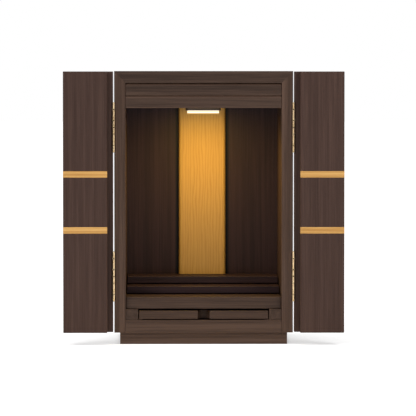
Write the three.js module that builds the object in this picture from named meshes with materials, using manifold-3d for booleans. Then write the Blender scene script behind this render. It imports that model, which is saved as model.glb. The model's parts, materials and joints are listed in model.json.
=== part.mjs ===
// A tabletop household altar cabinet, in millimetres, +Z up.
//
// A dark wooden case stands on a recessed plinth. Two pairs of bifold doors hang on brass lift-off
// hinges and are folded flat beside the case. Inside are a lintel of two boards, a small lamp, a pale
// panel on the back board, two stepped platforms and an altar floor. A pull-out tray lies below it.
//
// The front faces -Y. The origin is on the ground, at the centre of the plan with the doors open.

import * as THREE from 'three';
import { mergeVertices } from 'three/addons/utils/BufferGeometryUtils.js';
import Module from 'manifold-3d';

const wasm = await Module();
wasm.setup();

// Fits
const jointGap = 0.3;             // between two pieces that touch
const edgeEase = 0.8;             // chamfer on the edges that a hand meets

// Case
const caseWidth = 317;
const caseHeight = 485;
const caseDepth = 245;
const sideThickness = 20;
const topThickness = 21;
const bottomThickness = 22;

// Plinth
const plinthHeight = 21;
const plinthThickness = 18;
const plinthSideRecess = 10;
const plinthFrontRecess = 8;

// Back board and the pale panel on it
const backThickness = 9;
const backRecess = 14;            // from the rear edges of the case
const backGroove = 5;             // how deep the board stands in the case
const panelWidth = 86;
const panelThickness = 10;

// Lintel, ceiling and lamp
const lintelTopGap = 0.5;         // shadow line under the top board
const lintelHeight = 21.8;        // of each of its two boards
const lintelThickness = 15;
const lintelUpperRecess = 1.8;
const lintelLowerRecess = 1;
const lintelChamfer = 3;
const ceilingThickness = 6;
const ceilingRise = 1;            // above the underside of the lintel
const lampDepth = 66;             // from the front of the case to the lamp
const lampHousingLength = 63;
const lampHousingWidth = 13;
const lampHousingHeight = 5.6;
const lampDiffuserLength = 57;
const lampDiffuserWidth = 10;
const lampDiffuserHeight = 6.2;

// Altar floor and platforms
const floorThickness = 21.2;
const floorRecess = 9;
const stepHeight = 14;
const stepSideGap = 2;
const stepLowerDepth = 80;        // from the front of the case
const stepUpperDepth = 144;
const stepRebateHeight = 2;       // shadow rebate under each front
const stepRebateDepth = 5;

// Tray and its runners
const trayThickness = 15;
const trayRecess = 2;
const trayUnderGap = 1.6;         // above the bottom board
const trayTopGap = 3.2;           // below the altar floor
const traySideGap = 1.5;
const trayRearSpace = 20;         // behind it, to the back board
const notchWidth = 21;
const notchDepth = 24;
const runnerWidth = 21.7;         // of the front that shows beside the tray
const runnerLedge = 7;            // width of the ledge that the tray slides on

// Door leaves
const leafThickness = 18;
const leafTopDrop = 0.7;          // below the top of the case
const leafBottomRise = 1;         // above the underside of the case
const leafFrontGap = 2;           // from the case when the doors are closed
const leafMeetingGap = 1;         // between two leaves side by side
const outerLeafExtra = 1;         // by which the outer leaf is wider than the inner one
const inlayHeight = 10.8;
const inlayDepth = 3;
const inlaySpacing = 99;

// Hinges
const hingeInset = 99;            // from the ends of a leaf to the middle of a hinge
const sideHingeLength = 89;
const sideHingeRadius = 2.3;
const sideHingePlate = 1.2;
const sideHingeWidth = 14;
const sideHingeOffset = 1;        // from the side of the case out to the pin
const sidePocketDepth = 1.5;
const barrelAir = 1.3;            // round a side hinge's barrel in its pocket
const foldHingeLength = 51;
const foldHingeRadius = 2;
const foldHingePlate = 1;
const foldHingeWidth = 15;
const foldPocketDepth = 1;
const foldPlatePlay = 0.2;        // from a plate to the middle of the gap between folded leaves
const foldPinInset = 4.1;         // from the edge of the inner leaf to the pin
const barrelGap = 1;              // between the two halves of a barrel
const barrelSides = 24;

// Places that follow from the sizes
const sideX = caseWidth / 2;
const openingX = sideX - sideThickness;
const foldHingeOffset = jointGap + foldHingePlate + foldPlatePlay;
const foldedReach = 2 * foldHingeOffset + leafThickness;
const frontY = (foldedReach - caseDepth) / 2;
const rearY = frontY + caseDepth;
const backRearY = rearY - backRecess;
const backFrontY = backRearY - backThickness;
const topUnderside = caseHeight - topThickness;
const bottomTop = plinthHeight + bottomThickness;
const trayBottom = bottomTop + trayUnderGap;
const trayX = openingX - jointGap - runnerWidth - traySideGap;
const floorBottom = trayBottom + trayThickness + trayTopGap;
const floorTop = floorBottom + floorThickness;
const stepLowerBottom = floorTop + jointGap;
const stepUpperBottom = stepLowerBottom + stepHeight + jointGap;
const stepUpperTop = stepUpperBottom + stepHeight;
const lintelUpperBottom = topUnderside - lintelTopGap - lintelHeight;
const lintelLowerBottom = lintelUpperBottom - jointGap - lintelHeight;
const lintelRear = frontY + Math.max(lintelUpperRecess, lintelLowerRecess) + lintelThickness;
const ceilingBottom = lintelLowerBottom + ceilingRise;
const lampHousingBottom = ceilingBottom - jointGap - lampHousingHeight;
const leafBottom = plinthHeight + leafBottomRise;
const leafTop = caseHeight - leafTopDrop;
const leafMiddle = (leafBottom + leafTop) / 2;
const doorWidth = sideX - leafMeetingGap / 2;
const outerLeafWidth = (doorWidth - leafMeetingGap + outerLeafExtra) / 2;
const innerLeafWidth = outerLeafWidth - outerLeafExtra;
const innerLeafStart = outerLeafWidth + leafMeetingGap;
const foldPin = innerLeafStart + foldPinInset;
const sideHingePin = leafFrontGap / 2;
const barrelRoom = sideHingeRadius + barrelAir;
const hingeHeights = [leafBottom + hingeInset, leafTop - hingeInset];
const inlayHeights = [leafMiddle - inlaySpacing / 2, leafMiddle + inlaySpacing / 2];

// Finishes
const finish = {
  case: { color: 0x4f4037, roughness: 0.5, metalness: 0 },
  leaf: { color: 0x4d3c36, roughness: 0.48, metalness: 0 },
  inside: { color: 0x3a2a22, roughness: 0.6, metalness: 0 },
  pale: { color: 0xd8a05a, roughness: 0.5, metalness: 0 },
  brass: { color: 0xd9b878, roughness: 0.3, metalness: 1 },
  housing: { color: 0x2a2522, roughness: 0.5, metalness: 0 },
  diffuser: { color: 0xfff4dc, roughness: 0.4, metalness: 0 },
};

const group = new THREE.Group();

// Adds one named piece to a parent group.
function addPiece(parent, name, geometry, look) {
  const mesh = new THREE.Mesh(geometry, new THREE.MeshStandardMaterial(look));
  mesh.name = name;
  parent.add(mesh);
  return mesh;
}

// A box between two corners.
function block(x0, x1, y0, y1, z0, z1) {
  const geometry = new THREE.BoxGeometry(Math.abs(x1 - x0), Math.abs(y1 - y0), Math.abs(z1 - z0));
  geometry.translate((x0 + x1) / 2, (y0 + y1) / 2, (z0 + z1) / 2);
  return geometry;
}

// A box between two corners with its edges chamfered.
function easedBlock(x0, x1, y0, y1, z0, z1, ease = edgeEase) {
  const halfWidth = Math.abs(x1 - x0) / 2 - ease;
  const halfDepth = Math.abs(y1 - y0) / 2 - ease;
  const height = Math.abs(z1 - z0) - 2 * ease;
  const outline = new THREE.Shape();
  outline.moveTo(halfWidth, -halfDepth + ease);
  outline.lineTo(halfWidth, halfDepth - ease);
  outline.lineTo(halfWidth - ease, halfDepth);
  outline.lineTo(-halfWidth + ease, halfDepth);
  outline.lineTo(-halfWidth, halfDepth - ease);
  outline.lineTo(-halfWidth, -halfDepth + ease);
  outline.lineTo(-halfWidth + ease, -halfDepth);
  outline.lineTo(halfWidth - ease, -halfDepth);
  const geometry = new THREE.ExtrudeGeometry(outline, {
    depth: height, bevelEnabled: true, bevelThickness: ease, bevelSize: ease, bevelSegments: 1,
  });
  geometry.translate((x0 + x1) / 2, (y0 + y1) / 2, (z0 + z1 - height) / 2);
  return geometry;
}

// An outline in X and Y, raised from z0 to z1.
function raise(outline, z0, z1, curveSegments = 12) {
  const geometry = new THREE.ExtrudeGeometry(outline, { depth: z1 - z0, bevelEnabled: false, curveSegments });
  geometry.translate(0, 0, z0);
  return geometry;
}

// An outline of points [x, z], drawn along Y from y0 to y1.
function alongY(points, y0, y1) {
  const outline = new THREE.Shape(points.map(([x, z]) => new THREE.Vector2(x, z)));
  const geometry = new THREE.ExtrudeGeometry(outline, { depth: y1 - y0, bevelEnabled: false });
  geometry.rotateX(Math.PI / 2);
  geometry.translate(0, y1, 0);
  return geometry;
}

// An outline of points [y, z], drawn along X from x0 to x1.
function alongX(points, x0, x1) {
  const outline = new THREE.Shape(points.map(([y, z]) => new THREE.Vector2(y, z)));
  const geometry = new THREE.ExtrudeGeometry(outline, { depth: x1 - x0, bevelEnabled: false });
  geometry.rotateX(Math.PI / 2);
  geometry.rotateZ(Math.PI / 2);
  geometry.translate(x0, 0, 0);
  return geometry;
}

// A bar with round ends, drawn up from z0 to z1.
function roundedBar(length, width, yMiddle, z0, z1) {
  const radius = width / 2;
  const straight = length / 2 - radius;
  const outline = new THREE.Shape();
  outline.absarc(straight, yMiddle, radius, -Math.PI / 2, Math.PI / 2, false);
  outline.absarc(-straight, yMiddle, radius, Math.PI / 2, 1.5 * Math.PI, false);
  return raise(outline, z0, z1);
}

// An upright cylinder.
function upright(radius, x, y, z0, z1) {
  const geometry = new THREE.CylinderGeometry(radius, radius, z1 - z0, barrelSides);
  geometry.rotateX(Math.PI / 2);
  geometry.translate(x, y, (z0 + z1) / 2);
  return geometry;
}

// Turns a closed geometry into a solid for cutting and joining.
function solidOf(geometry) {
  const bare = geometry.clone();
  bare.deleteAttribute('normal');
  bare.deleteAttribute('uv');
  const merged = mergeVertices(bare, 1e-4);
  return new wasm.Manifold(new wasm.Mesh({
    numProp: 3,
    vertProperties: new Float32Array(merged.attributes.position.array),
    triVerts: new Uint32Array(merged.index.array),
  }));
}

// Turns a solid back into a geometry.
function geometryOf(solid) {
  const mesh = solid.getMesh();
  const geometry = new THREE.BufferGeometry();
  geometry.setAttribute('position', new THREE.BufferAttribute(new Float32Array(mesh.vertProperties), 3));
  geometry.setIndex(new THREE.BufferAttribute(new Uint32Array(mesh.triVerts), 1));
  geometry.computeVertexNormals();
  return geometry;
}

function cut(body, cutters) {
  return geometryOf(cutters.reduce((solid, cutter) => solid.subtract(solidOf(cutter)), solidOf(body)));
}

function join(pieces) {
  return geometryOf(pieces.map(solidOf).reduce((solid, piece) => solid.add(piece)));
}

// The groove that holds the back board, as a box that reaches into the sides, top and bottom.
function backGrooveBlock() {
  return block(
    -openingX - backGroove, openingX + backGroove,
    backFrontY - jointGap, backRearY + jointGap,
    bottomTop - backGroove, topUnderside + backGroove,
  );
}

// The pocket round the barrel of a side hinge, from the place of its pin.
function barrelPocket(x, y, height) {
  return block(
    x - barrelRoom, x + barrelRoom, y - barrelRoom, y + barrelRoom,
    height - sideHingeLength / 2 - jointGap, height + sideHingeLength / 2 + jointGap,
  );
}

// The pockets in one side of the case for the hinge plates and the barrels.
function caseHingePockets(side) {
  return hingeHeights.flatMap((height) => [
    block(
      side * (sideX - sidePocketDepth), side * (sideX + sidePocketDepth),
      frontY - sidePocketDepth, frontY + sideHingeWidth + jointGap,
      height - sideHingeLength / 2 - jointGap, height + sideHingeLength / 2 + jointGap,
    ),
    barrelPocket(side * (sideX + sideHingeOffset), frontY - sideHingePin, height),
  ]);
}

// A side of the case. Its top end is mitred to meet the top board.
function addSide(name, side) {
  const mitreDrop = jointGap * Math.SQRT2;
  const points = [
    [side * sideX, plinthHeight],
    [side * openingX, plinthHeight],
    [side * openingX, topUnderside - mitreDrop],
    [side * sideX, caseHeight - mitreDrop],
  ];
  const board = alongY(side < 0 ? points : points.reverse(), frontY, rearY);
  addPiece(group, name, cut(board, [backGrooveBlock(), ...caseHingePockets(side)]), finish.case);
}

function addCaseBoards() {
  addSide('side_panel_left', -1);
  addSide('side_panel_right', 1);

  const top = alongY([
    [-openingX, topUnderside], [openingX, topUnderside], [sideX, caseHeight], [-sideX, caseHeight],
  ], frontY, rearY);
  addPiece(group, 'top_board', cut(top, [backGrooveBlock()]), finish.case);

  const bottom = block(-openingX + jointGap, openingX - jointGap, frontY, rearY, plinthHeight, bottomTop);
  addPiece(group, 'bottom_board', cut(bottom, [backGrooveBlock()]), finish.case);

  const backReach = backGroove - jointGap;
  const back = block(
    -openingX - backReach, openingX + backReach, backFrontY, backRearY,
    bottomTop - backReach, topUnderside + backReach,
  );
  addPiece(group, 'back_board', back, finish.inside);
}

// Four boards under the case.
function addPlinth() {
  const x = sideX - plinthSideRecess;
  const y0 = frontY + plinthFrontRecess;
  const y1 = rearY - plinthFrontRecess;
  const z = plinthHeight - jointGap;
  const inner = plinthThickness + jointGap;
  addPiece(group, 'plinth_front', block(-x, x, y0, y0 + plinthThickness, 0, z), finish.case);
  addPiece(group, 'plinth_back', block(-x, x, y1 - plinthThickness, y1, 0, z), finish.case);
  addPiece(group, 'plinth_left', block(-x, plinthThickness - x, y0 + inner, y1 - inner, 0, z), finish.case);
  addPiece(group, 'plinth_right', block(x - plinthThickness, x, y0 + inner, y1 - inner, 0, z), finish.case);
}

// One board of the lintel, with its top front edge chamfered.
function addLintelBoard(name, recess, bottom) {
  const front = frontY + recess;
  const top = bottom + lintelHeight;
  const profile = [
    [front, bottom],
    [front + lintelThickness, bottom],
    [front + lintelThickness, top],
    [front + lintelChamfer, top],
    [front, top - lintelChamfer],
  ];
  addPiece(group, name, alongX(profile, -openingX + jointGap, openingX - jointGap), finish.case);
}

// The ceiling of the chamber and the lamp under it.
function addCeiling() {
  const ceiling = block(
    -openingX + jointGap, openingX - jointGap, lintelRear + jointGap, backFrontY - jointGap,
    ceilingBottom, ceilingBottom + ceilingThickness,
  );
  addPiece(group, 'ceiling_board', ceiling, finish.inside);

  const lampMiddle = frontY + lampDepth + lampHousingWidth / 2;
  const housing = roundedBar(
    lampHousingLength, lampHousingWidth, lampMiddle, lampHousingBottom, lampHousingBottom + lampHousingHeight,
  );
  const diffuserTop = lampHousingBottom - jointGap;
  const diffuser = roundedBar(
    lampDiffuserLength, lampDiffuserWidth, lampMiddle, diffuserTop - lampDiffuserHeight, diffuserTop,
  );
  addPiece(group, 'lamp_housing', housing, finish.housing);
  addPiece(group, 'lamp_diffuser', diffuser, finish.diffuser);
}

// One stepped platform, with a shadow rebate under its front edge.
function addStep(name, depth, bottom) {
  const front = frontY + depth;
  const rear = backFrontY - jointGap;
  const top = bottom + stepHeight;
  const profile = [
    [front + stepRebateDepth, bottom],
    [rear, bottom],
    [rear, top],
    [front + edgeEase, top],
    [front, top - edgeEase],
    [front, bottom + stepRebateHeight],
    [front + stepRebateDepth, bottom + stepRebateHeight],
  ];
  const reach = openingX - stepSideGap;
  addPiece(group, name, alongX(profile, -reach, reach), finish.inside);
}

function addChamber() {
  const floor = easedBlock(
    -openingX + jointGap, openingX - jointGap, frontY + floorRecess, backFrontY - jointGap,
    floorBottom, floorTop,
  );
  addPiece(group, 'floor_board', floor, finish.case);
  addStep('step_lower', stepLowerDepth, stepLowerBottom);
  addStep('step_upper', stepUpperDepth, stepUpperBottom);

  const panel = block(
    -panelWidth / 2, panelWidth / 2, backFrontY - jointGap - panelThickness, backFrontY - jointGap,
    stepUpperTop + jointGap, ceilingBottom - jointGap,
  );
  addPiece(group, 'centre_panel', panel, finish.pale);
}

// The tray is one thick board with a round-ended finger notch in its front edge.
function addTray() {
  const front = frontY + trayRecess;
  const rear = backFrontY - trayRearSpace;
  const board = easedBlock(-trayX, trayX, front, rear, trayBottom, trayBottom + trayThickness);
  const radius = notchWidth / 2;
  const notch = new THREE.Shape();
  notch.moveTo(-radius, front - edgeEase);
  notch.lineTo(radius, front - edgeEase);
  notch.absarc(0, front + notchDepth - radius, radius, 0, Math.PI, false);
  const cutter = raise(notch, trayBottom - edgeEase, trayBottom + trayThickness + edgeEase);
  addPiece(group, 'tray', cut(board, [cutter]), finish.case);
}

// A runner fills the side of the tray's space. Its ledge reaches under the tray.
function addRunner(name, side) {
  const inner = trayX + traySideGap;
  const bottom = bottomTop + jointGap;
  const points = [
    [side * (openingX - jointGap), bottom],
    [side * (inner - traySideGap - runnerLedge), bottom],
    [side * (inner - traySideGap - runnerLedge), trayBottom - jointGap],
    [side * inner, trayBottom - jointGap],
    [side * inner, floorBottom - jointGap],
    [side * (openingX - jointGap), floorBottom - jointGap],
  ];
  const front = frontY + trayRecess;
  const runner = alongY(side < 0 ? points : points.reverse(), front, backFrontY - jointGap);
  addPiece(group, name, runner, finish.case);
}

// One half of a lift-off hinge, around a pin at the origin. The plate reaches along Y on the side
// `reach` and lies beyond `plateX`. The half of the barrel that it holds is above or below the middle.
function hingeHalf({ radius, length, plate, width, plateX, reach, upper }) {
  const half = length / 2;
  const barrelBottom = upper ? barrelGap / 2 : -half;
  const barrel = upright(radius, 0, 0, barrelBottom, barrelBottom + half - barrelGap / 2);
  const thickEnd = plateX + Math.sign(plateX) * plate;
  const clear = reach * (radius + jointGap);
  const flap = block(plateX, thickEnd, clear, reach * width, -half, half);
  const root = block(plateX, thickEnd, 0, 2 * clear, barrelBottom, barrelBottom + half - barrelGap / 2);
  return join([barrel, root, flap]);
}

// The inlays of one leaf, flush with its outer face.
function addInlays(parent, name, x0, x1, outerY) {
  inlayHeights.forEach((height, i) => {
    const inlay = block(x0, x1, outerY, outerY + inlayDepth, height - inlayHeight / 2, height + inlayHeight / 2);
    addPiece(parent, `${name}_inlay_${['lower', 'upper'][i]}`, inlay, finish.pale);
  });
}

// A leaf from x0 to x1 with its outer face at outerY, grooved for its inlays and cut for its hinges.
function leafBoard(x0, x1, outerY, pockets) {
  const board = easedBlock(x0, x1, outerY, outerY + leafThickness, leafBottom, leafTop);
  const grooves = inlayHeights.map((height) => block(
    Math.min(x0, x1) - edgeEase, Math.max(x0, x1) + edgeEase,
    outerY - edgeEase, outerY + inlayDepth + jointGap,
    height - inlayHeight / 2 - jointGap, height + inlayHeight / 2 + jointGap,
  ));
  return cut(board, [...grooves, ...pockets]);
}

// Both leaves of one door. `side` is -1 at the left and 1 at the right, and `inward` points to the
// middle of the case when the doors are closed. Each leaf is drawn closed, around its own pin, and
// its group is then turned to the open door of the photograph's pose.
function addDoor(word, side) {
  const inward = -side;
  const half = Math.PI;

  const swing = new THREE.Group();
  swing.position.set(side * (sideX + sideHingeOffset), frontY - sideHingePin, 0);
  swing.rotation.z = side * half;
  group.add(swing);

  // The outer leaf, seen from the pin on the side of the case
  const outerStart = inward * sideHingeOffset;
  const outerEnd = outerStart + inward * outerLeafWidth;
  const outerInnerY = sideHingePin - leafFrontGap;
  const outerPockets = hingeHeights.flatMap((height) => [
    block(
      outerStart - inward * sidePocketDepth, outerStart + inward * sidePocketDepth,
      outerInnerY - sideHingeWidth - jointGap, outerInnerY + sidePocketDepth,
      height - sideHingeLength / 2 - jointGap, height + sideHingeLength / 2 + jointGap,
    ),
    barrelPocket(0, 0, height),
  ]);
  const outerBoard = leafBoard(outerStart, outerEnd, outerInnerY - leafThickness, outerPockets);
  addPiece(swing, `${word}_outer_leaf`, outerBoard, finish.leaf);
  addInlays(swing, `${word}_outer`, outerStart, outerEnd, outerInnerY - leafThickness);

  // The inner leaf, seen from the pin between the leaves
  const fold = new THREE.Group();
  fold.position.set(outerStart + inward * foldPin, outerInnerY + foldHingeOffset, 0);
  fold.rotation.z = -side * half;
  swing.add(fold);
  const innerStart = inward * (innerLeafStart - foldPin);
  const innerEnd = innerStart + inward * innerLeafWidth;
  const innerY = -foldHingeOffset;
  const innerPockets = hingeHeights.map((height) => block(
    innerStart - inward * foldPocketDepth, inward * (foldHingeWidth + jointGap),
    innerY - foldPocketDepth, innerY + foldPocketDepth,
    height - foldHingeLength / 2 - jointGap, height + foldHingeLength / 2 + jointGap,
  ));
  const innerBoard = leafBoard(innerStart, innerEnd, innerY - leafThickness, innerPockets);
  addPiece(fold, `${word}_inner_leaf`, innerBoard, finish.leaf);
  addInlays(fold, `${word}_inner`, innerStart, innerEnd, innerY - leafThickness);

  hingeHeights.forEach((height, i) => {
    const place = ['lower', 'upper'][i];
    const sideHinge = {
      radius: sideHingeRadius, length: sideHingeLength, plate: sideHingePlate,
      width: sideHingeWidth + sideHingePin - jointGap,
      plateX: inward * (sideHingeOffset + sidePocketDepth - jointGap - sideHingePlate),
    };
    const onCase = addPiece(
      group, `${word}_hinge_${place}_case_half`,
      hingeHalf({ ...sideHinge, reach: 1, upper: false }), finish.brass,
    );
    onCase.position.set(swing.position.x, swing.position.y, height);
    const onLeaf = addPiece(
      swing, `${word}_hinge_${place}_leaf_half`,
      hingeHalf({ ...sideHinge, reach: -1, upper: true }), finish.brass,
    );
    onLeaf.position.z = height;
    addFoldHinge(word, place, side, swing, fold, height);
  });
}

// A fold hinge. One plate lies on the inner face of the outer leaf, the other in the inner leaf.
function addFoldHinge(word, place, side, swing, fold, height) {
  const inward = -side;
  const turned = (half) => half.rotateZ(inward * Math.PI / 2);
  const foldHinge = {
    radius: foldHingeRadius, length: foldHingeLength, plate: foldHingePlate, width: foldHingeWidth,
  };
  const onOuter = turned(hingeHalf({
    ...foldHinge, plateX: -inward * (foldHingeOffset - jointGap - foldHingePlate), reach: 1, upper: false,
  }));
  const onInner = turned(hingeHalf({
    ...foldHinge, plateX: -inward * (foldHingeOffset + foldPocketDepth - jointGap - foldHingePlate),
    reach: -1, upper: true,
  }));
  const outerHalf = addPiece(swing, `${word}_fold_hinge_${place}_outer_half`, onOuter, finish.brass);
  outerHalf.position.set(fold.position.x, fold.position.y, height);
  const innerHalf = addPiece(fold, `${word}_fold_hinge_${place}_inner_half`, onInner, finish.brass);
  innerHalf.position.z = height;
}

addCaseBoards();
addPlinth();
addLintelBoard('lintel_upper', lintelUpperRecess, lintelUpperBottom);
addLintelBoard('lintel_lower', lintelLowerRecess, lintelLowerBottom);
addCeiling();
addChamber();
addTray();
addRunner('tray_runner_left', -1);
addRunner('tray_runner_right', 1);
addDoor('left', -1);
addDoor('right', 1);

export default group;
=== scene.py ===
# %% Load the construction model
import json
import math

import bmesh
import bpy
from mathutils import Matrix, Vector


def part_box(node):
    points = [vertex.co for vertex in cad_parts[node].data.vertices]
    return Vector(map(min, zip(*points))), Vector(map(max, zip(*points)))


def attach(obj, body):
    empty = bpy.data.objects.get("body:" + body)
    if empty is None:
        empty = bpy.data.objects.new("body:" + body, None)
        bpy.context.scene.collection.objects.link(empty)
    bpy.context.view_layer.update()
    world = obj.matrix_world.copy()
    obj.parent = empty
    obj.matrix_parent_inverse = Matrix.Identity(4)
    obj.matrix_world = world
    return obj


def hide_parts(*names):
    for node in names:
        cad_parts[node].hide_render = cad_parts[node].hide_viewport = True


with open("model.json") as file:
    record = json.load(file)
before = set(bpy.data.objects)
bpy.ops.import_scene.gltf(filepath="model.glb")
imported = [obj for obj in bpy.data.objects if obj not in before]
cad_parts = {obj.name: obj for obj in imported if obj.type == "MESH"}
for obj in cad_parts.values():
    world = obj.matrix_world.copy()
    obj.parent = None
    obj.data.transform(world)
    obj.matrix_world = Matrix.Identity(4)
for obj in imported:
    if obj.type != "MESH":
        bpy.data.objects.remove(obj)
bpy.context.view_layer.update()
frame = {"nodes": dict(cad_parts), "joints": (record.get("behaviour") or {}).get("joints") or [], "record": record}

# %% [markdown]
# # A tabletop altar cabinet
# This lesson dresses a finished construction model: a dark wooden case on a low plinth, with two pairs
# of folding doors opened flat beside it. The construction gives every board its place. What is left to
# make here is what the eye sees: softened edges, grain, brass, a glowing lamp and the light of a studio.
#
# Every finished piece stands for one part of the construction, which is then hidden, and rides on the
# same moving body. So the first thing to write down is which body and which finish each part has.

# %% Bodies and finishes of the parts
MM = 0.001
body_of_node = {}
for body, names in frame["record"]["behaviour"]["bodies"].items():
    for name in names:
        body_of_node[name] = body
slot_of_node = {part["node"]: part["material_slot"] for part in frame["record"]["subparts"]}
print("bodies:", sorted(set(body_of_node.values())))
print("finishes:", sorted(set(slot_of_node.values())))

# %% [markdown]
# ## The camera
# The photograph was taken from far away with a long lens, a little left of the middle and at the height
# of the lintel. That is why the sides of the case hardly narrow towards the back. A long lens and a far
# camera give the same flat look. The camera is turned towards the point that the middle of the picture
# shows, and its lens isn't shifted, so any other view can use it too.

# %% Camera
camera_place = Vector((-0.0784, -6.026, 0.4732))
camera_target = Vector((0.0077, -0.112, 0.2424))
camera = bpy.data.objects.new("camera", bpy.data.cameras.new("camera"))
camera.data.sensor_width = 36
camera.data.lens = 288.9
camera.location = camera_place
camera.rotation_euler = (camera_target - camera_place).to_track_quat("-Z", "Y").to_euler()
camera.data.clip_start = 0.1
camera.data.clip_end = 100
bpy.context.scene.collection.objects.link(camera)
bpy.context.scene.camera = camera
print("camera to case:", round((camera_target - camera_place).length, 2), "m")

# %% [markdown]
# ## The studio
# The photograph is a catalogue picture: white all round, a faint soft shadow on the ground, and a chamber
# that is dark apart from its own lamp. Those need two different skies. A photographer lights a white
# backdrop separately and keeps the room in front of it dim, so that little light falls into the chamber.
# The world does the same: a Light Path node shows pure white to the camera and a dim grey to everything
# else. The ground is a sheet of white acrylic that is lit a little from below, as on a photographer's
# table, so that the shadows on it stay pale. The standard view transform shows white as white.

# %% Floor and sky
white = (1.0, 1.0, 1.0, 1)
floor_radius = 30
floor_mesh = bpy.data.meshes.new("studio_floor")
floor_shape = bmesh.new()
bmesh.ops.create_circle(floor_shape, cap_ends=True, segments=64, radius=floor_radius)
floor_shape.to_mesh(floor_mesh)
floor_shape.free()
studio_floor = bpy.data.objects.new("studio_floor", floor_mesh)
bpy.context.scene.collection.objects.link(studio_floor)

floor_paint = bpy.data.materials.new("studio_floor_paint")
floor_paint.use_nodes = True
floor_shader = floor_paint.node_tree.nodes["Principled BSDF"]
floor_shader.inputs["Base Color"].default_value = (0.93, 0.93, 0.93, 1)
floor_shader.inputs["Roughness"].default_value = 0.9
floor_shader.inputs["Specular IOR Level"].default_value = 0.2
floor_shader.inputs["Emission Color"].default_value = white
floor_shader.inputs["Emission Strength"].default_value = 0.50
floor_mesh.materials.append(floor_paint)

sky = bpy.data.worlds.new("studio_sky")
sky.use_nodes = True
sky_nodes = sky.node_tree.nodes
dim_sky = sky_nodes["Background"]
dim_sky.inputs["Color"].default_value = white
dim_sky.inputs["Strength"].default_value = 0.03
backdrop = sky_nodes.new("ShaderNodeBackground")
backdrop.inputs["Color"].default_value = white
backdrop.inputs["Strength"].default_value = 1.0
ray_kind = sky_nodes.new("ShaderNodeLightPath")
sky_choice = sky_nodes.new("ShaderNodeMixShader")
share_of_second, first_sky, second_sky = sky_choice.inputs
sky.node_tree.links.new(ray_kind.outputs["Is Camera Ray"], share_of_second)
sky.node_tree.links.new(dim_sky.outputs["Background"], first_sky)
sky.node_tree.links.new(backdrop.outputs["Background"], second_sky)
sky.node_tree.links.new(sky_choice.outputs["Shader"], sky_nodes["World Output"].inputs["Surface"])
bpy.context.scene.world = sky
bpy.context.scene.view_settings.view_transform = "Standard"
print("floor radius", floor_radius, "m, sky strength", round(dim_sky.inputs["Strength"].default_value, 2))

# %% [markdown]
# A wide soft light from above makes the floor white and lets the object stand in a pale shadow. Two large
# soft boxes stand in front, to the left and to the right, and look down a little. The lintel keeps their
# light off the upper part of the chamber. Each side of the case shades the end of the platforms beside it,
# so the platforms are lightest in the middle, as in the photograph.

# %% Soft lights
box_width = 1.4
box_aim = Vector((0, 0, 0.25))


def soft_box(name, place, power):
    """A square area light that faces the middle of the case."""
    light = bpy.data.lights.new(name, "AREA")
    light.shape = "SQUARE"
    light.size = box_width
    light.energy = power
    lamp = bpy.data.objects.new(name, light)
    lamp.location = place
    lamp.rotation_euler = (box_aim - Vector(place)).to_track_quat("-Z", "Y").to_euler()
    bpy.context.scene.collection.objects.link(lamp)


def overhead_light(name, direction, spread, strength):
    """A sun whose disc is `spread` degrees wide, which acts as a large light in the ceiling."""
    light = bpy.data.lights.new(name, "SUN")
    light.angle = math.radians(spread)
    light.energy = strength
    lamp = bpy.data.objects.new(name, light)
    lamp.rotation_euler = Vector(direction).to_track_quat("-Z", "Y").to_euler()
    bpy.context.scene.collection.objects.link(lamp)


overhead_light("ceiling_light", (0.10, 0.16, -1.0), spread=80, strength=2.2)
soft_box("left_soft_box", (-1.7, -2.4, 1.6), power=30.5)
soft_box("right_soft_box", (1.7, -2.4, 1.6), power=28.5)

# %% [markdown]
# ## Building materials from nodes
# Each finish is a small network of nodes in front of one Principled shader. Three helpers keep the
# networks short. The first adds a node and sets its sockets, the second joins two sockets, and the third
# starts a material and hands it back with its node tree and its shader. A Mix node has one set of sockets
# for plain numbers and another for colours, and the names below tell them apart.

# %% Node helpers
mix_share = 0
number_a, number_b, mixed_number = 2, 3, 0
colour_a, colour_b, mixed_colour = 6, 7, 2


def add_node(tree, kind, settings=None, **sockets):
    """Adds a node. `settings` are its properties, and the other names are its input sockets."""
    made = tree.nodes.new(kind)
    for key, value in (settings or {}).items():
        setattr(made, key, value)
    for key, value in sockets.items():
        made.inputs[key.replace("_", " ")].default_value = value
    return made


def wire(tree, source, target):
    """Joins an output socket to an input socket."""
    tree.links.new(source, target)


def start_material(name, **sockets):
    """A material whose Principled shader has the given plain values."""
    material = bpy.data.materials.new(name)
    material.use_nodes = True
    shader = material.node_tree.nodes["Principled BSDF"]
    for key, value in sockets.items():
        shader.inputs[key.replace("_", " ")].default_value = value
    return material, material.node_tree, shader


print("node helpers ready")

# %% [markdown]
# ## Stained wood
# The case is a straight-grained hardwood under a dark stain and a satin lacquer. Wood is a bundle of
# fibres, so its pattern is long in one direction and fine in the other two. A noise texture has no
# direction, but a Mapping node that stretches the coordinates gives it one: about a millimetre across
# the fibres and several centimetres along them.
#
# On the end of a board the same field is cut across, so it turns into the fine dots of real end grain. A
# number stored on each board shifts its noise, so that no two boards continue each other's grain.

# %% Stretched noise
grain_axes = {"x": 0, "y": 1, "z": 2}


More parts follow.
